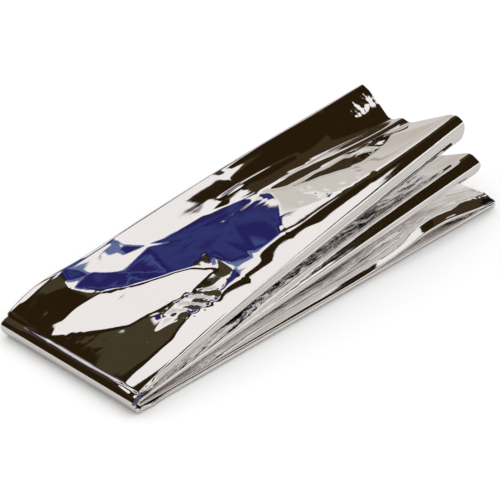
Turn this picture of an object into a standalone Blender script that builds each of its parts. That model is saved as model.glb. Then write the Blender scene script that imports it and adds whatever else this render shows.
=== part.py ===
"""A folded emergency foil blanket: one sheet of metallised film, pleated into a strip and doubled over.

The strip is laid back and forth in flat pleats, then turned back on itself at the near end, so that half
of the pleats lie above the other half. The near end is pressed flat. The pleats spring apart towards the
far end, where the top ones stand up as open loops and the lowest ones lie on the floor.

X runs from the near end to the far end, Y from the front pleats to the back ones, and Z is up.
"""
from collections import namedtuple

import bmesh
import bpy
import numpy as np
from mathutils import Vector

# Driving dimensions, in millimetres
MILLIMETRE = 0.001
SHEET = 1.0                # thickness that stands for the film and the air trapped beside it
PITCH = 1.55               # from one layer to the next where the bundle is pressed flat
HALF_WIDTH = 60.0          # half the width of a flat pleat
RIDGE_FLARE = 2.5          # how much further the outermost pleat reaches at the back of the near end
TURN_X = 7.5               # where the rounded near end passes into the straight layers
TURN_LEAN = 0.3            # how much further the upper half of the near end stands out than the lower half
TOP_REACH = 336.0          # far end of the upper pleats
BOTTOM_REACH = 353.0       # far end of the lowest pleats
TURN_STEPS = 6             # facets round the near end
LENGTH_STEPS = 14          # facets along each straight half
CROWDING = 1.35            # above 1 it gathers the facets towards the near end
ONSET = 0.02               # share of the length over which the layers start to part

# Heights of the layers above the fold's axis at the near end, from the innermost layer outwards
INNER, SECOND, THIRD, TUCKED, OUTER = (PITCH * (layer + 0.5) for layer in range(5))
AXIS_Z = OUTER + SHEET / 2

# One row for each crease across the strip, from the tucked-in edge to the innermost edge.
# near_y, near_h: its place at the near end, h measured from the axis of the turn
# soft: how far from the crease its bend starts at the near end and at the far end
# bend: facets round the crease, run: facets on the flat before it, none where two bends meet
Crease = namedtuple("Crease", "name near_y near_h soft_near soft_far bend run")
CREASES = (
    Crease("tucked_edge", 24, TUCKED, 0, 0, 0, 0),
    Crease("tucked_bend", 42, TUCKED, 4, 6, 2, 1),
    Crease("ridge_low", HALF_WIDTH + RIDGE_FLARE, TUCKED, 1.5, 3, 2, 1),
    Crease("ridge_top", HALF_WIDTH + RIDGE_FLARE, OUTER, 1.5, 4, 2, 0),
    Crease("brow", 48, OUTER, 4, 6, 2, 1),
    Crease("valley", 32, OUTER, 4, 5, 3, 2),
    Crease("small_crest", 20, OUTER, 3, 3, 2, 1),
    Crease("dip", 9, OUTER, 3, 3, 2, 1),
    Crease("lobe_2_top", -48, OUTER, 6, 8, 3, 3),
    Crease("lobe_2_front", -HALF_WIDTH, OUTER, 2, 3.5, 2, 1),
    Crease("lobe_2_low", -HALF_WIDTH, THIRD, 2, 3, 2, 0),
    Crease("under_lobe_2", -38, THIRD, 5, 5, 2, 1),
    Crease("second_middle", 10, THIRD, 10, 12, 2, 2),
    Crease("back_fold_top", HALF_WIDTH, THIRD, 1.5, 3, 2, 2),
    Crease("back_fold_low", HALF_WIDTH, SECOND, 1.5, 3, 2, 0),
    Crease("third_middle", 10, SECOND, 10, 12, 2, 2),
    Crease("lobe_3_root", -30, SECOND, 5, 6, 2, 1),
    Crease("lobe_3_top", -48, SECOND, 4, 5, 2, 1),
    Crease("lobe_3_front", -HALF_WIDTH, SECOND, 1.5, 3, 2, 1),
    Crease("lobe_3_low", -HALF_WIDTH, INNER, 1.5, 3, 2, 0),
    Crease("under_lobe_3", -38, INNER, 5, 6, 2, 1),
    Crease("inner_middle", 10, INNER, 10, 12, 2, 2),
    Crease("inner_edge", 56, INNER, 0, 0, 0, 2),
)

# Where each crease ends at the far end: y, z and x in millimetres.
# rise, drift: how z and y get there, 1 evenly along the length, below 1 sooner, above 1 later
Far = namedtuple("Far", "y z x rise drift")
UPPER = {
    "tucked_edge": Far(22, 52, TOP_REACH, 0.6, 1),
    "tucked_bend": Far(42, 53, TOP_REACH, 0.6, 1),
    "ridge_low": Far(58.5, 58, TOP_REACH, 0.6, 1),
    "ridge_top": Far(58.5, 66.5, TOP_REACH, 0.6, 1),
    "brow": Far(48, 65, TOP_REACH, 0.6, 1),
    "valley": Far(29, 62, TOP_REACH, 0.6, 1),
    "small_crest": Far(18.5, 62, TOP_REACH, 0.6, 1),
    "dip": Far(11, 63, TOP_REACH, 0.62, 1),
    "lobe_2_top": Far(-29, 71.5, TOP_REACH, 0.72, 1),
    "lobe_2_front": Far(-38.5, 66, TOP_REACH, 0.75, 1),
    "lobe_2_low": Far(-36.5, 54, TOP_REACH, 0.78, 1),
    "under_lobe_2": Far(-24, 43, TOP_REACH, 0.85, 1),
    "second_middle": Far(12, 35, TOP_REACH, 0.9, 1),
    "back_fold_top": Far(55, 42, TOP_REACH, 0.85, 1),
    "back_fold_low": Far(55, 36.5, TOP_REACH, 0.9, 1),
    "third_middle": Far(10, 29.5, TOP_REACH, 0.9, 1),
    "lobe_3_root": Far(-17, 33, TOP_REACH + 2, 0.9, 1),
    "lobe_3_top": Far(-43, 45, TOP_REACH + 2, 0.9, 1),
    "lobe_3_front": Far(-53.5, 39, TOP_REACH + 2, 0.9, 1),
    "lobe_3_low": Far(-49, 30, TOP_REACH + 2, 0.9, 1),
    "under_lobe_3": Far(-34.5, 18, TOP_REACH + 3, 1, 1),
    "inner_middle": Far(10, 21, TOP_REACH + 4, 1, 1),
    "inner_edge": Far(50, 25, TOP_REACH + 4, 1, 1),
}
FLOOR = SHEET / 2
ABOVE_FLOOR = AXIS_Z - TUCKED
LOWER = {
    "tucked_edge": Far(24, ABOVE_FLOOR, BOTTOM_REACH, 1, 1),
    "tucked_bend": Far(42, ABOVE_FLOOR, BOTTOM_REACH, 1, 1),
    "ridge_low": Far(58, ABOVE_FLOOR, BOTTOM_REACH, 1, 1),
    "ridge_top": Far(58, FLOOR, BOTTOM_REACH, 1, 1),
    "brow": Far(46, FLOOR, BOTTOM_REACH, 1, 1),
    "valley": Far(30, FLOOR, BOTTOM_REACH, 1, 1),
    "small_crest": Far(19, FLOOR, BOTTOM_REACH, 1, 1),
    "dip": Far(9, FLOOR, BOTTOM_REACH, 1, 1),
    "lobe_2_top": Far(-46, FLOOR, BOTTOM_REACH, 1, 1),
    "lobe_2_front": Far(-56, FLOOR, BOTTOM_REACH, 1, 1),
    "lobe_2_low": Far(-57, 4.2, BOTTOM_REACH, 1, 1),
    "under_lobe_2": Far(-38, 4.0, BOTTOM_REACH - 1, 1, 1),
    "second_middle": Far(10, 4.2, BOTTOM_REACH - 2, 1, 1),
    "back_fold_top": Far(56, 4.5, BOTTOM_REACH - 2, 1, 1),
    "back_fold_low": Far(56, 8.5, BOTTOM_REACH - 2, 1, 1),
    "third_middle": Far(10, 7.5, BOTTOM_REACH - 2, 1, 1),
    "lobe_3_root": Far(-30, 6.6, BOTTOM_REACH - 2, 1, 1),
    "lobe_3_top": Far(-48, 6.2, BOTTOM_REACH - 3, 1, 1),
    "lobe_3_front": Far(-60, 6.2, BOTTOM_REACH - 4, 1, 1),
    "lobe_3_low": Far(-59, 8.6, BOTTOM_REACH - 5, 1, 1),
    "under_lobe_3": Far(-44, 10.5, BOTTOM_REACH - 6, 1, 1),
    "inner_middle": Far(10, 12.5, BOTTOM_REACH - 7, 1, 1),
    "inner_edge": Far(50, 15.5, BOTTOM_REACH - 7, 1, 1),
}

# Uneven places: a crease pushed sideways (dy) and up (dz) around one place along the length
Push = namedtuple("Push", "name x spread dy dz")
UPPER_PUSHES = (
    Push("ridge_top", 30, 28, 1.5, 3.5),
    Push("ridge_low", 30, 28, 1.5, 2.5),
    Push("brow", 30, 28, 0, 3),
    Push("valley", 30, 28, 0, 1.5),
    Push("valley", 336, 90, 0, -16),
    Push("small_crest", 336, 90, 0, -10),
    Push("dip", 336, 90, 0, -13),
    Push("brow", 336, 60, 0, -3),
    Push("tucked_bend", 336, 90, 0, -8),
    Push("tucked_edge", 336, 90, 0, -12),
)
LOWER_PUSHES = (
    Push("lobe_3_front", 282, 45, -1, 8),
    Push("lobe_3_low", 282, 45, -1, 9),
    Push("under_lobe_3", 282, 45, 0, 7),
    Push("lobe_3_top", 282, 45, 0, 4),
)

# The film's finish
SILVER = (0.80, 0.80, 0.82, 1.0)
METALLIC = 1.0
ROUGHNESS = 0.12


def eased(share, power):
    """A share of the length raised to a power, with a finite slope where the layers start to part."""
    return ((share + ONSET) ** power - ONSET ** power) / ((1 + ONSET) ** power - ONSET ** power)


def crease_line(crease, far, pushes, side, shares):
    """The crease in one straight half, a point for each share of the length; side is 1 above, -1 below."""
    near_z = AXIS_Z + side * crease.near_h
    x = TURN_X + (far.x - TURN_X) * shares
    y = crease.near_y + (far.y - crease.near_y) * eased(shares, far.drift)
    z = near_z + (far.z - near_z) * eased(shares, far.rise)
    for push in pushes:
        if push.name == crease.name:
            swell = np.exp(-((x - push.x) / push.spread) ** 2)
            y = y + push.dy * swell
            z = z + push.dz * swell
    return np.stack((x, y, z), axis=1)


def crease_path(crease):
    """The crease from the lower far end, round the near end, to the upper far end."""
    shares = np.linspace(0, 1, LENGTH_STEPS + 1) ** CROWDING
    lower = crease_line(crease, LOWER[crease.name], LOWER_PUSHES, -1, shares)[::-1]
    upper = crease_line(crease, UPPER[crease.name], UPPER_PUSHES, 1, shares)
    angles = np.radians(np.linspace(-90, 90, TURN_STEPS + 1))[1:-1]
    turn = np.stack((TURN_X - crease.near_h * np.cos(angles) * (1 + TURN_LEAN * np.sin(angles)),
                     np.full(len(angles), float(crease.near_y)),
                     AXIS_Z + crease.near_h * np.sin(angles)), axis=1)
    return np.concatenate((lower, turn, upper))


def softness(crease, stations):
    """How far from the crease its bend starts, at every station of its path."""
    half = np.linspace(0, 1, LENGTH_STEPS + 1) ** CROWDING
    along = np.concatenate((half[::-1], np.zeros(TURN_STEPS - 1), half))
    assert len(along) == stations
    return crease.soft_near + (crease.soft_far - crease.soft_near) * along


def towards(start, end, distance):
    """A point on the way from start to end, never past the middle."""
    step = end - start
    length = np.linalg.norm(step, axis=1)
    share = np.minimum(distance / length, 0.45)
    return start + step * share[:, None]


def sheet_lines():
    """Lines along the sheet's whole length, one for each facet edge across it."""
    paths = [crease_path(crease) for crease in CREASES]
    stations = len(paths[0])
    lines = [paths[0]]
    for index in range(1, len(CREASES)):
        crease, path, before = CREASES[index], paths[index], paths[index - 1]
        last = index == len(CREASES) - 1
        soft = softness(crease, stations)
        if last:
            bend_start = path
        elif crease.run:
            bend_start = towards(path, before, soft)
        else:
            bend_start = (path + before) / 2
        run_start = lines[-1]
        for step in range(1, crease.run + 1):
            lines.append(run_start + (bend_start - run_start) * step / crease.run)
        if last:
            break
        after = paths[index + 1]
        if CREASES[index + 1].run:
            bend_end = towards(path, after, soft)
        else:
            bend_end = (path + after) / 2
        for step in range(1, crease.bend + 1):
            t = step / crease.bend
            lines.append((1 - t) ** 2 * bend_start + 2 * t * (1 - t) * path + t ** 2 * bend_end)
    return np.array(lines)


def build_sheet(collection, material):
    """The film as an open surface on the fold lines, thickened evenly to both sides."""
    lines = sheet_lines() * MILLIMETRE
    across, along = lines.shape[:2]
    bm = bmesh.new()
    bmesh.ops.create_grid(bm, x_segments=along - 1, y_segments=across - 1, size=0.5)
    for vert in bm.verts:
        station = round((vert.co.x + 0.5) * (along - 1))
        line = round((vert.co.y + 0.5) * (across - 1))
        vert.co = Vector(lines[line, station])
    bmesh.ops.recalc_face_normals(bm, faces=bm.faces)
    mesh = bpy.data.meshes.new("foil_sheet")
    bm.to_mesh(mesh)
    bm.free()
    mesh.materials.append(material)
    mesh.shade_smooth()
    sheet = bpy.data.objects.new("foil_sheet", mesh)
    collection.objects.link(sheet)
    thickness = sheet.modifiers.new("film", "SOLIDIFY")
    thickness.thickness = SHEET * MILLIMETRE
    thickness.offset = 0
    return sheet


def centre_on_floor(sheet):
    """Moves the mesh so that the origin is the middle of the underside."""
    bpy.context.view_layer.update()
    corners = np.array([corner[:] for corner in sheet.evaluated_get(
        bpy.context.evaluated_depsgraph_get()).bound_box])
    low, high = corners.min(axis=0), corners.max(axis=0)
    middle = Vector(((low[0] + high[0]) / 2, (low[1] + high[1]) / 2, low[2]))
    for vert in sheet.data.vertices:
        vert.co -= middle


def silver_film():
    material = bpy.data.materials.new("silver_film")
    material.use_nodes = True
    shader = material.node_tree.nodes["Principled BSDF"]
    shader.inputs["Base Color"].default_value = SILVER
    shader.inputs["Metallic"].default_value = METALLIC
    shader.inputs["Roughness"].default_value = ROUGHNESS
    return material


for old in list(bpy.data.objects):
    bpy.data.objects.remove(old, do_unlink=True)
blanket = bpy.data.collections.new("folded_foil_blanket")
bpy.context.scene.collection.children.link(blanket)
foil = build_sheet(blanket, silver_film())
centre_on_floor(foil)
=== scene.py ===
import math
from collections import namedtuple

import bmesh
import bpy
import numpy as np
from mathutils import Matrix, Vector, noise
from mathutils.geometry import delaunay_2d_cdt


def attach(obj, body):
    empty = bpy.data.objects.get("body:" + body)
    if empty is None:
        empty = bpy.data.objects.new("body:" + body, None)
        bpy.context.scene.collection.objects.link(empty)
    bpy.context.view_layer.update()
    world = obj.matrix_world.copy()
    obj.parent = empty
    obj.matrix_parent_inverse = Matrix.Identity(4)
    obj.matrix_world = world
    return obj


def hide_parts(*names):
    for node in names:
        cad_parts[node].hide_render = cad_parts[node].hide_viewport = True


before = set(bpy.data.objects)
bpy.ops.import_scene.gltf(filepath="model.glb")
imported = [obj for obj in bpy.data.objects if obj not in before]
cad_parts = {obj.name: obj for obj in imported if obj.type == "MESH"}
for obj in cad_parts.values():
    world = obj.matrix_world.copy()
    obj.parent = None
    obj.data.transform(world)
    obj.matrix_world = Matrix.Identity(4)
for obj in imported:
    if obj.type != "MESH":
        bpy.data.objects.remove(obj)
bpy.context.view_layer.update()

# The foil sheet
# One sheet of silver polyester film, about a hundredth of a millimetre thick, is laid back and forth in flat
# pleats, pressed and then doubled over, so that half of the pleats lie above the other half. It isn't fixed.
# Sizes are in millimetres, X from the near end. A row of a table is one crease, ridge or crushed place.
MILLIMETRE = 0.001
PITCH = 1.55
HALF_WIDTH = 60.0
RIDGE_FLARE = 2.5
TURN_X = 7.5
TURN_LEAN = 0.3
TOP_REACH = 336.0
BOTTOM_REACH = 353.0
ONSET = 0.02
INNER, SECOND, THIRD, TUCKED, OUTER = (PITCH * (layer + 0.5) for layer in range(5))
FLOOR_FILM = 0.5
AXIS_Z = OUTER + FLOOR_FILM

Crease = namedtuple("Crease", "name near_y near_h soft_near soft_far bend run")
CREASES = (
    Crease("tucked_edge", 24, TUCKED, 0, 0, 0, 0),
    Crease("tucked_bend", 42, TUCKED, 4, 6, 3, 3),
    Crease("ridge_low", HALF_WIDTH + RIDGE_FLARE, TUCKED, 1.5, 3, 4, 2),
    Crease("ridge_top", HALF_WIDTH + RIDGE_FLARE, OUTER, 1.5, 4, 5, 0),
    Crease("brow", 48, OUTER, 4, 6, 8, 8),
    Crease("valley", 32, OUTER, 4, 5, 8, 12),
    Crease("small_crest", 20, OUTER, 3, 3, 4, 9),
    Crease("dip", 9, OUTER, 3, 3, 4, 7),
    Crease("lobe_2_top", -48, OUTER, 6, 11, 11, 34),
    Crease("lobe_2_front", -HALF_WIDTH, OUTER, 2, 3.5, 5, 4),
    Crease("lobe_2_low", -HALF_WIDTH, THIRD, 2, 3, 4, 0),
    Crease("under_lobe_2", -38, THIRD, 5, 5, 6, 5),
    Crease("second_middle", 10, THIRD, 10, 12, 3, 6),
    Crease("back_fold_top", HALF_WIDTH, THIRD, 1.5, 3, 3, 4),
    Crease("back_fold_low", HALF_WIDTH, SECOND, 1.5, 3, 3, 0),
    Crease("third_middle", 10, SECOND, 10, 12, 3, 4),
    Crease("lobe_3_root", -30, SECOND, 5, 6, 6, 5),
    Crease("lobe_3_top", -48, SECOND, 4, 5, 6, 13),
    Crease("lobe_3_front", -HALF_WIDTH, SECOND, 1.5, 3, 4, 3),
    Crease("lobe_3_low", -HALF_WIDTH, INNER, 2.5, 8, 9, 0),
    Crease("under_lobe_3", -38, INNER, 5, 6, 6, 6),
    Crease("inner_middle", 10, INNER, 10, 12, 3, 6),
    Crease("inner_edge", 56, INNER, 0, 0, 0, 4),
)

Far = namedtuple("Far", "y z x rise", defaults=(1,))
UPPER = {
    "tucked_edge": Far(22, 52, TOP_REACH, 0.6),
    "tucked_bend": Far(42, 53, TOP_REACH, 0.6),
    "ridge_low": Far(58.5, 58, TOP_REACH, 0.6),
    "ridge_top": Far(58.5, 66.5, TOP_REACH, 0.6),
    "brow": Far(48, 65, TOP_REACH, 0.6),
    "valley": Far(29, 62, TOP_REACH, 0.6),
    "small_crest": Far(18.5, 62, TOP_REACH, 0.6),
    "dip": Far(11, 63, TOP_REACH, 0.62),
    "lobe_2_top": Far(-29, 71.5, TOP_REACH, 0.72),
    "lobe_2_front": Far(-38.5, 66, TOP_REACH, 0.75),
    "lobe_2_low": Far(-36.5, 54, TOP_REACH, 0.78),
    "under_lobe_2": Far(-24, 43, TOP_REACH, 0.85),
    "second_middle": Far(12, 35, TOP_REACH, 0.9),
    "back_fold_top": Far(55, 42, TOP_REACH, 0.85),
    "back_fold_low": Far(55, 36.5, TOP_REACH, 0.9),
    "third_middle": Far(10, 29.5, TOP_REACH, 0.9),
    "lobe_3_root": Far(-17, 33, TOP_REACH + 2, 0.9),
    "lobe_3_top": Far(-43, 45, TOP_REACH + 2, 0.9),
    "lobe_3_front": Far(-53.5, 39, TOP_REACH + 2, 0.9),
    "lobe_3_low": Far(-49, 30, TOP_REACH + 2, 0.9),
    "under_lobe_3": Far(-34.5, 18, TOP_REACH + 3),
    "inner_middle": Far(10, 21, TOP_REACH + 4),
    "inner_edge": Far(50, 25, TOP_REACH + 4),
}
ABOVE_FLOOR = AXIS_Z - TUCKED
LOWER = {
    "tucked_edge": Far(24, ABOVE_FLOOR, BOTTOM_REACH),
    "tucked_bend": Far(42, ABOVE_FLOOR, BOTTOM_REACH),
    "ridge_low": Far(58, ABOVE_FLOOR, BOTTOM_REACH),
    "ridge_top": Far(58, FLOOR_FILM, BOTTOM_REACH),
    "brow": Far(46, FLOOR_FILM, BOTTOM_REACH),
    "valley": Far(30, FLOOR_FILM, BOTTOM_REACH),
    "small_crest": Far(19, FLOOR_FILM, BOTTOM_REACH),
    "dip": Far(9, FLOOR_FILM, BOTTOM_REACH),
    "lobe_2_top": Far(-46, FLOOR_FILM, BOTTOM_REACH),
    "lobe_2_front": Far(-56, FLOOR_FILM, BOTTOM_REACH),
    "lobe_2_low": Far(-57, 4.2, BOTTOM_REACH),
    "under_lobe_2": Far(-38, 4.0, BOTTOM_REACH - 1),
    "second_middle": Far(10, 4.2, BOTTOM_REACH - 2),
    "back_fold_top": Far(56, 4.5, BOTTOM_REACH - 2),
    "back_fold_low": Far(56, 8.5, BOTTOM_REACH - 2),
    "third_middle": Far(10, 7.5, BOTTOM_REACH - 2),
    "lobe_3_root": Far(-30, 6.6, BOTTOM_REACH - 2),
    "lobe_3_top": Far(-48, 6.2, BOTTOM_REACH - 3),
    "lobe_3_front": Far(-60, 6.2, BOTTOM_REACH - 4),
    "lobe_3_low": Far(-59, 8.6, BOTTOM_REACH - 5),
    "under_lobe_3": Far(-44, 10.5, BOTTOM_REACH - 6),
    "inner_middle": Far(10, 12.5, BOTTOM_REACH - 7),
    "inner_edge": Far(50, 15.5, BOTTOM_REACH - 7),
}

Push = namedtuple("Push", "name x spread dy dz")
UPPER_PUSHES = (
    Push("ridge_top", 30, 28, 1.5, 3.5),
    Push("ridge_low", 30, 28, 1.5, 2.5),
    Push("brow", 30, 28, 0, 3),
    Push("valley", 30, 28, 0, 1.5),
    Push("valley", 336, 90, 0, -16),
    Push("small_crest", 336, 90, 0, -10),
    Push("dip", 336, 90, 0, -13),
    Push("brow", 336, 60, 0, -3),
    Push("tucked_bend", 336, 90, 0, -8),
    Push("tucked_edge", 336, 90, 0, -12),
)
LOWER_PUSHES = (
    Push("lobe_3_front", 282, 45, -1, 8),
    Push("lobe_3_low", 282, 45, -1, 9),
    Push("under_lobe_3", 282, 45, 0, 7),
    Push("lobe_3_top", 282, 45, 0, 4),
)

UPPER_STEPS, TURN_STEPS, LOWER_STEPS = 220, 28, 55
UPPER_CROWDING, LOWER_CROWDING = 1.08, 1.35
UPPER_SHARES = np.linspace(0, 1, UPPER_STEPS + 1) ** UPPER_CROWDING
LOWER_SHARES = np.linspace(0, 1, LOWER_STEPS + 1) ** LOWER_CROWDING
LONGEST_BEND = 0.45
BEND_REACH = 0.3
TURN_ANGLES = np.radians(np.linspace(-90, 90, TURN_STEPS + 1))[1:-1]


def eased(share, power):
    """0 to 1 along the sheet, and steeper near the turn the smaller the power is."""
    return ((share + ONSET) ** power - ONSET ** power) / ((1 + ONSET) ** power - ONSET ** power)


def crease_line(crease, far, pushes, side, shares):
    """The points of one crease, from the turn to its far end."""
    near_z = AXIS_Z + side * crease.near_h
    x = TURN_X + (far.x - TURN_X) * shares
    y = crease.near_y + (far.y - crease.near_y) * shares
    z = near_z + (far.z - near_z) * eased(shares, far.rise)
    for push in pushes:
        if push.name == crease.name:
            swell = np.exp(-((x - push.x) / push.spread) ** 2)
            y = y + push.dy * swell
            z = z + push.dz * swell
    return np.stack((x, y, z), axis=1)


def crease_path(crease):
    """The whole crease: the lower half from its far end, the turn, and the upper half out again."""
    lower = crease_line(crease, LOWER[crease.name], LOWER_PUSHES, -1, LOWER_SHARES)[::-1]
    upper = crease_line(crease, UPPER[crease.name], UPPER_PUSHES, 1, UPPER_SHARES)
    reach = crease.near_h * np.cos(TURN_ANGLES) * (1 + TURN_LEAN * np.sin(TURN_ANGLES))
    turn = np.stack((TURN_X - reach,
                     np.full(len(TURN_ANGLES), float(crease.near_y)),
                     AXIS_Z + crease.near_h * np.sin(TURN_ANGLES)), axis=1)
    return np.concatenate((lower, turn, upper))


def towards(start, end, distance):
    way = end - start
    share = np.minimum(distance / np.linalg.norm(way, axis=1), LONGEST_BEND)
    return start + way * share[:, None]


def sheet_lines():
    """The sheet's lines and, for each one, its place between the creases: 4.5 is half way from 4 to 5."""
    along = np.concatenate((LOWER_SHARES[::-1], np.zeros(len(TURN_ANGLES)), UPPER_SHARES))
    paths = [crease_path(crease) for crease in CREASES]
    lines, places = [paths[0]], [0.0]
    for index in range(1, len(CREASES)):
        crease, path, before = CREASES[index], paths[index], paths[index - 1]
        last = index == len(CREASES) - 1
        soft = crease.soft_near + (crease.soft_far - crease.soft_near) * along
        if last:
            bend_start = path
        elif crease.run:
            bend_start = towards(path, before, soft)
        else:
            bend_start = (path + before) / 2
        run_start, run_place = lines[-1], places[-1]
        start_place = index if last else index - BEND_REACH
        for part in range(1, crease.run + 1):
            lines.append(run_start + (bend_start - run_start) * part / crease.run)
            places.append(run_place + (start_place - run_place) * part / crease.run)
        if last:
            break
        after = paths[index + 1]
        if CREASES[index + 1].run:
            bend_end = towards(path, after, soft)
        else:
            bend_end = (path + after) / 2
        for part in range(1, crease.bend + 1):
            t = part / crease.bend
            lines.append((1 - t) ** 2 * bend_start + 2 * t * (1 - t) * path + t ** 2 * bend_end)
            places.append(index - BEND_REACH + 2 * BEND_REACH * t)
    return np.array(lines), np.array(places)


# The facets of the top panel
# The panel was pressed while it lay uneven, so it is made of nearly flat facets with soft creases between.
# Each chain is one crease that runs through its points, and the film lies flat from one chain to the next.
Knuckle = namedtuple("Knuckle", "chain x y rise")
KNUCKLES = (
    Knuckle("near_end", 4, -46, 0),
    Knuckle("near_end", 4, -20, 0),
    Knuckle("near_end", 4, 5, 0),
    Knuckle("near_end", 4, 24, 0),
    Knuckle("near_end", 4, 45, 0),
    Knuckle("near_end", 4, 63, 0),
    Knuckle("back_edge", 25, 61, -0.8),
    Knuckle("back_edge", 52, 60, 0),
    Knuckle("back_edge", 81, 59, 0.4),
    Knuckle("back_edge", 92, 59, 0.3),
    Knuckle("back_edge", 130, 60, 0.2),
    Knuckle("back_edge", 180, 60, 0.8),
    Knuckle("back_edge", 230, 60, 0.6),
    Knuckle("back_edge", 336, 60, 0),
    Knuckle("shoulder", 20, -46, 0),
    Knuckle("shoulder", 50, -44, 0),
    Knuckle("shoulder", 90, -43, 0),
    Knuckle("shoulder", 140, -42, 0),
    Knuckle("shoulder", 190, -41, 0),
    Knuckle("shoulder", 240, -38, 0),
    Knuckle("shoulder", 336, -34, 0),
    Knuckle("far_end", 336, 10, 0),
    Knuckle("far_end", 336, 30, 0),
    Knuckle("ramp_top", 11, 24, 0),
    Knuckle("ramp_top", 22, 25, 0.6),
    Knuckle("ramp_top", 33, 25.5, 1.4),
    Knuckle("ramp_top", 45, 24, 2.1),
    Knuckle("ramp_top", 53, 22, 2.3),
    Knuckle("ramp_top", 60, 18, 2.4),
    Knuckle("ramp_top", 66, 13, 2.4),
    Knuckle("ramp_top", 76, 8, 2.5),
    Knuckle("ramp_top", 90, 1, 2.3),
    Knuckle("ramp_top", 101, -5, 2.0),
    Knuckle("ramp_top", 112, -19, 0.1),
    Knuckle("ramp_foot", 12, 22, 0),
    Knuckle("ramp_foot", 20, 11, -0.7),
    Knuckle("ramp_foot", 30, 0, -1.3),
    Knuckle("ramp_foot", 43, -11, -1.9),
    Knuckle("ramp_foot", 60, -15.5, -2.1),
    Knuckle("ramp_foot", 75, -19, -2.0),
    Knuckle("ramp_foot", 92, -20, -1.7),
    Knuckle("ramp_foot", 104, -27, -0.9),
    Knuckle("patch_left", 64, -23, -2.2),
    Knuckle("patch_left", 67, -38, 0.8),
    Knuckle("patch_right", 93, -24, -2.6),
    Knuckle("patch_right", 95, -39, 0.4),
    Knuckle("olive", 22, -25, -0.7),
    Knuckle("olive", 45, -30, -1.0),
    Knuckle("near_dent", 12, 34, 0),
    Knuckle("near_dent", 24, 40, -0.15),
    Knuckle("near_dent", 30, 52, -0.3),
    Knuckle("corner_facet", 52, 59, 0.1),
    Knuckle("corner_facet", 43, 41, 0.8),
    Knuckle("corner_facet", 52, 29, 1.8),
    Knuckle("corner_facet", 59, 20, 2.3),
    Knuckle("blue_edge", 54, 57, 0),
    Knuckle("blue_edge", 62, 44, 0.1),
    Knuckle("blue_edge", 75, 27, 0.8),
    Knuckle("grey_edge", 81, 55, 0.3),
    Knuckle("grey_edge", 81, 46, 0.6),
    Knuckle("grey_edge", 79, 36, 0.8),
    Knuckle("horn", 92, 56, 0.4),
    Knuckle("horn", 87, 47, 0.6),
    Knuckle("horn", 86, 40, 0.8),
    Knuckle("horn_back", 95, 48, 0.1),
    Knuckle("horn_back", 104, 36, 0.2),
    Knuckle("middle", 122, 0, 1.0),
    Knuckle("middle", 150, 5, 0.8),
    Knuckle("blue_end", 194, 13, 1.7),
    Knuckle("blue_end", 189, 0, 1.6),
    Knuckle("blue_end", 172, -15, 1.7),
    Knuckle("blue_end", 161, -27, 1.4),
    Knuckle("crest", 205, 9, 0.9),
    Knuckle("crest", 230, -1, 1.3),
    Knuckle("crest", 250, -11, 1.4),
    Knuckle("crest", 258, -14, 1.6),
    Knuckle("gap_left", 262, -2, 0.5),
    Knuckle("gap_left", 265, 9, 0.1),
    Knuckle("gap_right", 281, -6, 1.3),
    Knuckle("gap_right", 282, 8, 2.9),
    Knuckle("gap_end", 303, 9, 2.2),
    Knuckle("crest_back", 208, 12, -0.2),
    Knuckle("crest_back", 235, 12, -0.4),
    Knuckle("crest_back", 263, 11.5, 0.1),
    Knuckle("crest_back", 303, 12.5, 1.6),
    Knuckle("crest_back", 334, 12, 0),
    Knuckle("band_high", 150, 32.5, 0),
    Knuckle("band_high", 165, 32, 0.6),
    Knuckle("band_high", 190, 32, 1.9),
    Knuckle("band_high", 240, 32, 1.7),
    Knuckle("band_high", 300, 33, 1.1),
    Knuckle("band_high", 333, 34, 0.4),
    Knuckle("first_streak_low", 140, 32, 0),
    Knuckle("first_streak_low", 150, 30, 0),
    Knuckle("first_streak_low", 165, 27, 0.1),
    Knuckle("first_streak_low", 178, 22, 0.7),
    Knuckle("first_streak_low", 190, 19.5, 0.9),
    Knuckle("first_streak_low", 240, 22.5, 0.1),
    Knuckle("first_streak_low", 300, 27, 0),
    Knuckle("first_streak_low", 333, 30, 0),
    Knuckle("first_streak", 240, 21, 0.4),
    Knuckle("first_streak", 300, 25.5, 0.3),
    Knuckle("first_streak", 333, 28.5, 0.2),
    Knuckle("second_streak_low", 240, 18.5, -0.2),
    Knuckle("second_streak_low", 300, 21.5, -0.3),
    Knuckle("second_streak_low", 333, 24, -0.1),
    Knuckle("second_streak", 198, 17.5, 0.8),
    Knuckle("second_streak", 240, 17, 0.1),
    Knuckle("second_streak", 300, 18, 0.1),
    Knuckle("second_streak", 333, 18.5, 0.1),
    Knuckle("third_streak_low", 204, 14.5, 0.2),
    Knuckle("third_streak_low", 240, 14, -0.4),
    Knuckle("third_streak_low", 300, 14.5, -0.3),
    Knuckle("third_streak_low", 333, 14.5, -0.1),
    Knuckle("dark_tip", 163, 42, 0.1),
    Knuckle("dark_tip", 185, 49, 1.1),
    Knuckle("light_facet", 118, -29, 0.6),
    Knuckle("light_facet", 138, -31, 0.5),
    Knuckle("crest_front", 205, -24, 0.9),
    Knuckle("crest_front", 240, -27, 0.8),
)
MERGED_BELOW = 1e-4
FACET_SOFTENING = 2


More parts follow.
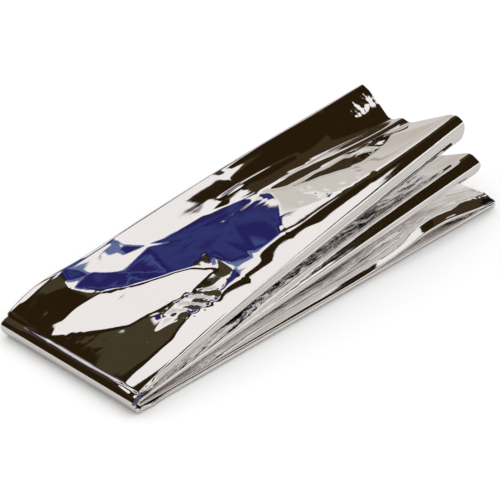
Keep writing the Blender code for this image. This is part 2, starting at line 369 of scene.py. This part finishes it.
def facet_rise(x, y):
    """The height that the facets add to the panel over each point of the plan."""
    corners = [Vector((knuckle.x, knuckle.y)) for knuckle in KNUCKLES]
    creases = [(index, index + 1) for index in range(len(KNUCKLES) - 1)
               if KNUCKLES[index].chain == KNUCKLES[index + 1].chain]
    placed, _, faces, sources, _, _ = delaunay_2d_cdt(corners, creases, [], 0, MERGED_BELOW)
    rises = [np.mean([KNUCKLES[source].rise for source in group]) for group in sources]
    rise = np.zeros(x.shape)
    for a, b, c in faces:
        (ax, ay), (bx, by), (cx, cy) = placed[a], placed[b], placed[c]
        area = (bx - ax) * (cy - ay) - (cx - ax) * (by - ay)
        to_b = ((x - ax) * (cy - ay) - (cx - ax) * (y - ay)) / area
        to_c = ((bx - ax) * (y - ay) - (x - ax) * (by - ay)) / area
        inside = (to_b >= 0) & (to_c >= 0) & (to_b + to_c <= 1)
        height = rises[a] + to_b * (rises[b] - rises[a]) + to_c * (rises[c] - rises[a])
        rise = np.where(inside, height, rise)
    return rise


def softened(field, passes):
    """The field with its creases rounded off, more with each pass."""
    for _ in range(passes):
        field[1:-1] = (field[:-2] + 2 * field[1:-1] + field[2:]) / 4
        field[:, 1:-1] = (field[:, :-2] + 2 * field[:, 1:-1] + field[:, 2:]) / 4
    return field


# The long ridges
# Where the film was drawn tight while it was folded, it keeps low soft ridges, each straight from end to end.
# Their slopes reach a little way to the back and to the front, and they fade out at both ends.
Ripple = namedtuple("Ripple", "name x0 y0 x1 y1 rise back front")
PANEL_RIPPLES = (
    Ripple("near_bead", 3.8, 46, 3.8, -54, 0.62, 4, 2.5),
    Ripple("near_bead", 3.8, 44, 3.8, 20, 0.22, 4, 2.5),
    Ripple("near_shoulder", -20, -41, 115, -42, 0.85, 25, 14),
    Ripple("shoulder_swell", 45, -29, 108, -28, 0.5, 25, 11),
    Ripple("light_facet", 108, -16, 165, -26, 0.3, 25, 18),
    Ripple("shoulder_swell", 135, -29, 250, -28, 0.6, 40, 11),
    Ripple("white_line", 168, 35.5, 245, 34.5, 0.4, 2, 3),
    Ripple("ridge_line", 192, 56, 290, 54.5, 0.7, 2, 5),
    Ripple("patch_fold", 72, -42, 63, -22, 0.55, 2.5, 7),
    Ripple("patch_fold", 80, -43, 71, -21, 0.6, 2.5, 7),
    Ripple("patch_fold", 88, -43, 80, -20, 0.6, 2.5, 7),
    Ripple("patch_fold", 95, -38, 90, -20, 0.5, 2.5, 6),
    Ripple("blue_streak", 103, 37, 127, 20, 0.1, 3, 2),
    Ripple("blue_streak", 135, 21, 163, 8, 0.12, 3, 2.5),
    Ripple("blue_streak", 100, 14.5, 134, 13, 0.08, 2, 2),
    Ripple("blue_streak", 128, 26, 168, 18, 0.12, 3, 2.5),
    Ripple("blue_streak", 150, 14, 182, 17, 0.1, 2, 2),
)
LEAF_RIPPLES = (
    Ripple("front_roll", 55, -52, 272, -51, 1.5, 15, 8),
    Ripple("front_roll", 256, -51, 353, -50, 2.6, 15, 8.5),
    Ripple("long_fold", 120, -44, 300, -38, 0.4, 6, 5),
    Ripple("short_fold", 215, -38, 340, -24, 0.4, 5, 5),
)


def ripple_rise(x, y, ripples):
    """The height that the ridges add over each point of the plan."""
    rise = np.zeros(x.shape)
    for ripple in ripples:
        length = math.hypot(ripple.x1 - ripple.x0, ripple.y1 - ripple.y0)
        ahead = ((ripple.x1 - ripple.x0) / length, (ripple.y1 - ripple.y0) / length)
        share = ((x - ripple.x0) * ahead[0] + (y - ripple.y0) * ahead[1]) / length
        aside = (y - ripple.y0) * ahead[0] - (x - ripple.x0) * ahead[1]
        reach = np.where(aside > 0, ripple.back, ripple.front)
        swell = (1 + np.cos(np.pi * np.clip(aside / reach, -1, 1))) / 2
        taper = np.sqrt(np.clip(4 * share * (1 - share), 0, 1))
        rise += ripple.rise * swell * taper
    return rise


# The crushed places
# Fingers have crushed the film into small flat faces on the panel, along the third lobe, at the far tips and
# at the near front corner. A pale bluish reflection is painted into its colour there, and in the deepest
# pleats of the lobes a painted dark reflection and shade.
Crumple = namedtuple("Crumple", "name x y length width turn rise cell")
PANEL_CRUMPLES = (
    Crumple("light_patch", 79, -30, 18, 10, 0, 0.5, 8),
    Crumple("hook", 44, -34, 5, 4, 0, 0.25, 5),
    Crumple("olive_scratch", 20, 0, 6, 18, 15, 0.14, 6),
    Crumple("wrinkles", 222, -13, 26, 14, -8, 0.2, 13),
    Crumple("wrinkle_end", 238, -22, 20, 9, 30, 0.07, 8),
    Crumple("between_triangles", 270, 5, 6, 5, 0, 0.4, 5),
    Crumple("far_corner", 322, 44, 16, 5, 5, 1.0, 6),
)
LOBE_3_CRUMPLES = (
    Crumple("knot", 118, -44, 14, 7, 0, 1.6, 7),
    Crumple("crushed_near", 160, -38, 34, 6, 6, 1.6, 8),
    Crumple("crushed_middle", 222, -33, 38, 7, 6, 1.9, 8),
    Crumple("crushed_far", 280, -30, 34, 6, 5, 0.9, 10),
)
LOBE_4_CRUMPLES = (
    Crumple("far_tip", 344, -52, 12, 9, 0, 1.0, 5),
)
CORNER_CRUMPLES = (
    Crumple("front_corner", 10, 8, 16, 9, 0, 2.4, 7),
)
FADED_AT, FADE = 1.3, 0.5
FACE_MIDDLE = 0.5
PATCH_SHIFT = 60
FULLY_CRUSHED = 1.5
CORNER_CRUSH_SHARE = 0.8
LOBE_GRAIN = 0.55


def crush(film_lines, crush_mask, patches, plan=(0, 1), push=2, grain=1.0):
    """Pushes a part of the film into small faces, and marks how far each point is crushed."""
    x, y = film_lines[:, :, plan[0]].copy(), film_lines[:, :, plan[1]].copy()
    for index, patch in enumerate(patches):
        turn = math.radians(patch.turn)
        ahead = (x - patch.x) * math.cos(turn) + (y - patch.y) * math.sin(turn)
        aside = (y - patch.y) * math.cos(turn) - (x - patch.x) * math.sin(turn)
        within = np.clip(FADED_AT - np.hypot(ahead / patch.length, aside / patch.width), 0, FADE) / FADE
        for line, station in zip(*np.nonzero(within)):
            run, width = ahead[line, station] * grain, aside[line, station]
            spot = Vector((run + width, width - run, PATCH_SHIFT * index)) / patch.cell
            near = noise.voronoi(spot, distance_metric="MANHATTAN")[0][0]
            film_lines[line, station, push] += patch.rise * within[line, station] * (FACE_MIDDLE - near)
        crush_mask[:] = np.maximum(crush_mask, within * min(1, patch.rise / FULLY_CRUSHED))


# The film
# The sheet is one grid of points, a line for each place between creases and a station for each step along it.
# The facets, ridges and crushed places are pressed into it, and then it is made a mesh.
PANEL, LOBE_3, LEAF, CORNER = (3.2, 8.8), (16.2, 17.2), (18.7, 21.0), (8.9, 10.4)
PLEATS_FROM = 8.6
TURN_END = LOWER_STEPS + TURN_STEPS
PANEL_START = LOWER_STEPS + TURN_STEPS * 3 // 4
CORNER_BEFORE, CORNER_AFTER = 6, 20

lines, places = sheet_lines()
extent = lines.reshape(-1, 3)
middle = (extent.min(axis=0) + extent.max(axis=0)) / 2
origin = np.array((middle[0], middle[1], FLOOR_FILM))
across, along = lines.shape[:2]

crushed = np.zeros((across, along))


def span(part, first, last):
    """The lines whose places lie in one part of the sheet, from one station up to another."""
    inside = np.nonzero((places > part[0]) & (places < part[1]))[0]
    return slice(inside[0], inside[-1] + 1), slice(first, last)


panel_span = span(PANEL, PANEL_START, along)
panel = lines[panel_span]
plan_x, plan_y = panel[:, :, 0].copy(), panel[:, :, 1].copy()
panel[:, :, 2] += (softened(facet_rise(plan_x, plan_y), FACET_SOFTENING)
                   + ripple_rise(plan_x, plan_y, PANEL_RIPPLES))
crush(panel, crushed[panel_span], PANEL_CRUMPLES)

lobe_span = span(LOBE_3, TURN_END, along)
crush(lines[lobe_span], crushed[lobe_span], LOBE_3_CRUMPLES, grain=LOBE_GRAIN)

leaf_span = span(LEAF, 0, LOWER_STEPS)
leaf = lines[leaf_span]
leaf[:, :, 2] += ripple_rise(leaf[:, :, 0].copy(), leaf[:, :, 1].copy(), LEAF_RIPPLES)
crush(leaf, crushed[leaf_span], LOBE_4_CRUMPLES)

corner_span = span(CORNER, LOWER_STEPS - CORNER_BEFORE, TURN_END + CORNER_AFTER)
crush(lines[corner_span], crushed[corner_span], CORNER_CRUMPLES, plan=(0, 2), push=1)
crushed[corner_span] *= CORNER_CRUSH_SHARE

pleated = np.repeat((places > PLEATS_FROM).astype(float)[:, None], along, axis=1)
placed = (lines - origin) * MILLIMETRE

HALF_GRID = 0.5
bm = bmesh.new()
bmesh.ops.create_grid(bm, x_segments=along - 1, y_segments=across - 1, size=HALF_GRID)
crushed_layer = bm.verts.layers.float.new("crushed")
pleated_layer = bm.verts.layers.float.new("pleated")
for vert in bm.verts:
    station = round((vert.co.x + HALF_GRID) * (along - 1))
    line = round((vert.co.y + HALF_GRID) * (across - 1))
    vert.co = Vector(placed[line, station])
    vert[crushed_layer] = crushed[line, station]
    vert[pleated_layer] = pleated[line, station]
bmesh.ops.recalc_face_normals(bm, faces=bm.faces)
mesh = bpy.data.meshes.new("foil_film")
bm.to_mesh(mesh)
bm.free()
mesh.shade_smooth()
film = bpy.data.objects.new("foil_film", mesh)
bpy.context.scene.collection.objects.link(film)


# The silver coat
# The film is coated with bright aluminium, so it is a mirror that only its own slack, drawn lines and small
# faces disturb. Handling has dulled it a little. Where it is crushed a pale bluish reflection is painted into
# its colour, and in the lobes a dark reflection and shade.
class Value:
    """A shader number that Python's operators work on."""

    def __init__(self, tree, socket):
        self.tree, self.socket = tree, socket

    def math(self, operation, *others):
        values = dict(enumerate((self, *others)))
        return node(self.tree, "ShaderNodeMath", {"operation": operation}, values)

    def __add__(self, other):
        return self.math("ADD", other)

    def __rsub__(self, other):
        return node(self.tree, "ShaderNodeMath", {"operation": "SUBTRACT"}, {0: other, 1: self})

    def __mul__(self, other):
        return self.math("MULTIPLY", other)

    __radd__, __rmul__ = __add__, __mul__


def node(tree, kind, settings=None, values=None, output=0):
    """A node with its settings made first and then its sockets; gives the wanted output."""
    made = tree.nodes.new(kind)
    for name, value in (settings or {}).items():
        setattr(made, name, value)
    for name, value in (values or {}).items():
        if isinstance(value, Value):
            tree.links.new(value.socket, made.inputs[name])
        else:
            made.inputs[name].default_value = value
    return Value(tree, made.outputs[output])


def step(value, edge, soft):
    """0 below the edge and 1 above it."""
    return node(value.tree, "ShaderNodeMapRange", {"interpolation_type": "SMOOTHSTEP"},
                {"Value": value, "From Min": edge - soft, "From Max": edge + soft})


def mix(tree, share, first, second):
    return node(tree, "ShaderNodeMix", {"data_type": "RGBA"}, {0: share, 6: first, 7: second}, 2)


# The first two colours are the film's own tone, dulled by handling; the third is a painted pale bluish
# reflection.
BRIGHT, DULLED, PAINTED_BLUISH_REFLECTION = (0.955, 0.945, 0.94, 1), (0.90, 0.895, 0.895, 1), (0.95, 0.955, 0.97, 1)
# A painted dark, bluish reflection and shade, laid into the colour of the deep crushed pleats of the lobes.
PAINTED_DARK_REFLECTION = (0.07, 0.09, 0.14, 1)
PAINTED_DARK_LEVEL, PAINTED_DARK_EDGE, PAINTED_DARK_DEPTH = 0.55, 0.008, 0.93
PAINTED_DARK_FROM, PAINTED_DARK_FADE = 0.35, 0.2
PAINTED_BLUISH_SHARE = 0.5
RELIEF = 0.00035
SLACK, PULL, PLEAT_PULL, FACES = 0.09, 0.04, 0.16, 0.7
SHEEN, HANDLED_SHEEN = 0.012, 0.04

silver = bpy.data.materials.new("silver_film")
silver.use_nodes = True
foil = silver.node_tree
shader = foil.nodes["Principled BSDF"]
shader.inputs["Metallic"].default_value = 1.0
place = node(foil, "ShaderNodeTexCoord", output="Object")
crush_mask = node(foil, "ShaderNodeAttribute", {"attribute_name": "crushed"}, output="Fac")
lobes = node(foil, "ShaderNodeAttribute", {"attribute_name": "pleated"}, output="Fac")

slack = node(foil, "ShaderNodeTexNoise", None, {"Vector": place, "Scale": 60, "Detail": 1.5})
drawn = node(foil, "ShaderNodeMapping", None, {"Vector": place, "Scale": (7, 330, 330)})
pull_lines = node(foil, "ShaderNodeTexNoise", None, {"Vector": drawn, "Scale": 1, "Detail": 2})
small_faces = node(foil, "ShaderNodeTexVoronoi", {"distance": "MANHATTAN"},
                   {"Vector": place, "Scale": 150})
relief = slack * SLACK + pull_lines * (lobes * PLEAT_PULL + PULL) + small_faces * crush_mask * FACES
bump = node(foil, "ShaderNodeBump", None, {"Strength": 1.0, "Distance": RELIEF, "Height": relief})
foil.links.new(bump.socket, shader.inputs["Normal"])

handling = node(foil, "ShaderNodeTexNoise", None, {"Vector": place, "Scale": 24, "Detail": 5})
foil.links.new((handling * HANDLED_SHEEN + SHEEN).socket, shader.inputs["Roughness"])
along_lobe = node(foil, "ShaderNodeMapping", None, {"Vector": place, "Scale": (42, 210, 210)})
painted_dark_pattern = node(foil, "ShaderNodeTexNoise", None, {"Vector": along_lobe, "Scale": 1, "Detail": 1})
# Painted dark reflection and shade: a noise pattern darkens the colour where the lobes are crushed.
painted_dark_share = (step(painted_dark_pattern, PAINTED_DARK_LEVEL, PAINTED_DARK_EDGE) * step(crush_mask, PAINTED_DARK_FROM, PAINTED_DARK_FADE)
           * lobes * PAINTED_DARK_DEPTH)
tint = mix(foil, handling, BRIGHT, DULLED)
# Crushed places get a painted pale bluish reflection in their colour.
tint = mix(foil, crush_mask * PAINTED_BLUISH_SHARE, tint, PAINTED_BLUISH_REFLECTION)
foil.links.new(mix(foil, painted_dark_share, tint, PAINTED_DARK_REFLECTION).socket, shader.inputs["Base Color"])
mesh.materials.append(silver)

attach(film, "root")
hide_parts("foil_sheet")

# The floor
# The blanket lies loose on a matt white table. The film shades the part of the table that it mirrors, so the
# table is dimmer in the film than it is to the eye.
FLOOR_SIZE = 8.0
PALE, PALE_REFLECTED = (0.93, 0.93, 0.93), (0.55, 0.53, 0.51)
bpy.ops.mesh.primitive_plane_add(size=FLOOR_SIZE)
floor = bpy.context.object
floor.name = "floor"
pale = bpy.data.materials.new("pale_floor")
pale.use_nodes = True
matte = pale.node_tree.nodes["Principled BSDF"]
matte.inputs["Roughness"].default_value = 0.9
matte.inputs["Specular IOR Level"].default_value = 0.0
reflected = node(pale.node_tree, "ShaderNodeLightPath", output="Is Glossy Ray")
pale.node_tree.links.new(mix(pale.node_tree, reflected, (*PALE, 1), (*PALE_REFLECTED, 1)).socket,
                         matte.inputs["Base Color"])
floor.data.materials.append(pale)

# The studio
# A white sweep stands behind and below, a soft box hangs overhead, and the room between them is dark brown,
# with one blue wall in it. A card is given by where it stands, in degrees: azimuth from +X towards +Y, and
# height above the horizon. A wide weak sun fills the shadows.
Card = namedtuple("Card", "name left right low high soft colour")
WHITE, GREY, BEIGE = (0.90, 0.865, 0.85), (0.66, 0.63, 0.60), (0.55, 0.50, 0.45)
DARK_BROWN, BROWN, OLIVE = (0.020, 0.011, 0.003), (0.044, 0.028, 0.013), (0.056, 0.043, 0.021)
BLUE, BLUE_GLOW, BLUE_EDGE = (0.021, 0.016, 0.108), (0.030, 0.037, 0.155), (0.05, 0.07, 0.22)
SKY, SEAM, SHADE = (0.12, 0.16, 0.33), (0.40, 0.34, 0.29), (0.63, 0.585, 0.54)
GREY_FROM, GREY_SOFT, WHITE_FROM, WHITE_SOFT = 10, 8, 24, 3
FILL_ENERGY, FILL_ANGLE = 0.5, 60
CARDS = (
    Card("soft_box_gap", -181, 55, 68, 75, 0.5, OLIVE),
    Card("sweep_shade", 45, 52.8, 13, 30, 1.0, SHADE),
    Card("left_room", -178, -50, 24, 37, 0.5, BROWN),
    Card("left_room_edge", -150, -75, 8, 11, 0.5, DARK_BROWN),
    Card("sweep_seam", -10, 62, 14.5, 16.5, 1.0, SEAM),
    Card("dark_room", -35, 185, 38, 57.2, 0.3, DARK_BROWN),
    Card("olive_low", 63.5, 185, 32, 48, 1.0, OLIVE),
    Card("end_dark", 110, 175, -2, 45, 0.5, DARK_BROWN),
    Card("right_room", -10, 43, 27, 47, 0.3, BROWN),
    Card("right_room_middle", -10, 45.5, 27, 47, 0.3, BROWN),
    Card("right_room_high", -10, 51, 36, 47, 0.3, BROWN),
    Card("upper_white", 46, 63.5, 43, 49.3, 0.3, WHITE),
    Card("sky", 53, 62, 42, 44.5, 0.3, SKY),
    Card("blue", 52.3, 62, 31, 42.5, 0.3, BLUE),
    Card("blue_low", 53.8, 62, 27, 31.5, 0.3, BLUE),
    Card("blue_glow", 54.6, 56.6, 28, 41, 0.9, BLUE_GLOW),
    Card("blue_edge", 59.4, 60.2, 29, 41, 0.4, BLUE_EDGE),
)

world = bpy.data.worlds.new("studio")
world.use_nodes = True
bpy.context.scene.world = world
studio = world.node_tree
direction = node(studio, "ShaderNodeTexCoord", output="Generated")
axes = {axis: node(studio, "ShaderNodeSeparateXYZ", None, {0: direction}, axis) for axis in "XYZ"}
degrees = 180 / math.pi
azimuth = axes["Y"].math("ARCTAN2", axes["X"]) * degrees
height = axes["Z"].math("ARCSINE") * degrees
colour = mix(studio, step(height, GREY_FROM, GREY_SOFT), (*BEIGE, 1), (*GREY, 1))
colour = mix(studio, step(height, WHITE_FROM, WHITE_SOFT), colour, (*WHITE, 1))
for card in CARDS:
    inside = (step(azimuth, card.left, card.soft) * (1 - step(azimuth, card.right, card.soft))
              * step(height, card.low, card.soft) * (1 - step(height, card.high, card.soft)))
    colour = mix(studio, inside, colour, (*card.colour, 1))
mirrored = node(studio, "ShaderNodeLightPath", output="Is Glossy Ray")
background = studio.nodes["Background"]
studio.links.new(mix(studio, mirrored, (1, 1, 1, 1), colour).socket, background.inputs["Color"])

sun = bpy.data.lights.new("fill", "SUN")
sun.energy = FILL_ENERGY
sun.angle = math.radians(FILL_ANGLE)
fill = bpy.data.objects.new("fill", sun)
bpy.context.scene.collection.objects.link(fill)
fill.visible_glossy = False

# The camera
# It stands to the front left of the blanket, 1.2 m away and 30 degrees up, and looks at it with a long lens.
# Sizes are in millimetres from the same point as the sheet's. Light goes far in between the bright pleats.
AZIMUTH, ELEVATION, DISTANCE = -45.74, 30.5, 1200.0
AIM = np.array((170.8, 9.4, 15.0))
FOCAL_PIXELS, FRAME_PIXELS, SENSOR = 1799.1, 500, 36.0
BOUNCES = 32
turn, rise = math.radians(AZIMUTH), math.radians(ELEVATION)
back = np.array((math.sin(turn) * math.cos(rise), -math.cos(turn) * math.cos(rise), math.sin(rise)))
lens = bpy.data.cameras.new("camera")
lens.sensor_width = SENSOR
lens.lens = FOCAL_PIXELS / FRAME_PIXELS * SENSOR
camera = bpy.data.objects.new("camera", lens)
bpy.context.scene.collection.objects.link(camera)
camera.location = (AIM - origin + back * DISTANCE) * MILLIMETRE
camera.rotation_euler = Vector(back).to_track_quat("Z", "Y").to_euler()
bpy.context.scene.camera = camera
bpy.context.scene.view_settings.view_transform = "Standard"
bpy.context.scene.cycles.max_bounces = BOUNCES
bpy.context.scene.cycles.glossy_bounces = BOUNCES
